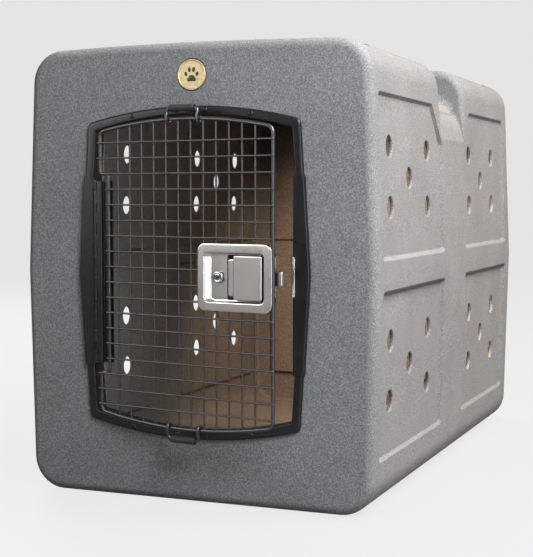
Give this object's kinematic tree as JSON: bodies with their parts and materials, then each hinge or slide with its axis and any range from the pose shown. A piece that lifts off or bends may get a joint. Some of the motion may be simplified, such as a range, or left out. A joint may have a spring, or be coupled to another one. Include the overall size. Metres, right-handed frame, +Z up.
{
  "type": "pet transport carrier",
  "caption": "One-piece moulded pet carrier with vented walls, a strap saddle with a grip bar, and a wire door on a long hinge with a paddle latch",
  "frame": {"origin": "on the ground, at the middle of the flat base of the shell", "axes": "+X to the carrier's right seen from the door, -Y out of the door, +Z up; the shell is mirror symmetric about X = 0"},
  "size_m": [0.52, 0.8954, 0.622],
  "materials": {
    "shell_plastic": "speckled grey granite, moulded, slightly rough",
    "powder_coat": "charcoal powder coat, satin",
    "stainless": "brushed stainless steel",
    "zinc_plate": "zinc plated steel",
    "stop_rubber": "black rubber sleeve",
    "badge_brass": "satin pale brass"
  },
  "bodies": {
    "shell": {"body_shell": "shell_plastic", "door_frame": "powder_coat", "hinge_side_plate": "powder_coat", "latch_side_plate": "powder_coat", "strike_plate": "stainless", "hinge_frame_leaf": "powder_coat", "hinge_pin": "zinc_plate", "badge": "badge_brass", "frame_rivet_1": "powder_coat", "frame_rivet_2": "powder_coat", "frame_rivet_3": "powder_coat", "frame_rivet_4": "powder_coat", "frame_rivet_5": "powder_coat", "frame_rivet_6": "powder_coat", "frame_rivet_7": "powder_coat", "frame_rivet_8": "powder_coat"},
    "door": {"door_wire_panel": "powder_coat", "hinge_door_leaf": "powder_coat", "upper_stop_loop": "powder_coat", "lower_stop_loop": "powder_coat", "upper_stop_sleeve": "stop_rubber", "lower_stop_sleeve": "stop_rubber", "latch_mounting_plate": "powder_coat", "latch_pan": "stainless", "bolt_housing": "stainless", "paddle_pin": "stainless", "paddle_spring": "zinc_plate", "lock_body": "stainless", "lock_nut": "zinc_plate", "latch_nut_1": "zinc_plate", "latch_nut_2": "zinc_plate", "latch_nut_3": "zinc_plate", "latch_nut_4": "zinc_plate"},
    "paddle": {"latch_paddle": "stainless"},
    "bolt": {"latch_bolt": "stainless"},
    "lock": {"lock_plug": "stainless", "lock_cam": "zinc_plate", "cam_screw": "zinc_plate"}
  },
  "joints": [
    {"name": "door_hinge", "type": "hinge", "parent": "shell", "child": "door", "pos_m": [-0.1428, -0.4265, 0.312], "axis": [0, 0, -1], "range_deg": [-9.4, 135.6]},
    {"name": "paddle_pivot", "type": "hinge", "parent": "door", "child": "paddle", "pos_m": [0.11953, -0.46871, 0.3112], "axis": [0, 0, 1], "range_deg": [0, 35]},
    {"name": "bolt_slide", "type": "slide", "parent": "door", "child": "bolt", "axis": [-0.9866, 0.1633, 0], "range_m": [0, 0.0108]},
    {"name": "lock_turn", "type": "hinge", "parent": "door", "child": "lock", "pos_m": [0.05655, -0.45545, 0.3112], "axis": [0.1633, 0.9866, 0], "range_deg": [-90, 0]}
  ],
  "couplings": [
    {"joint": "bolt_slide", "follows": "paddle_pivot", "m_per_rad": 0.0172}
  ]
}
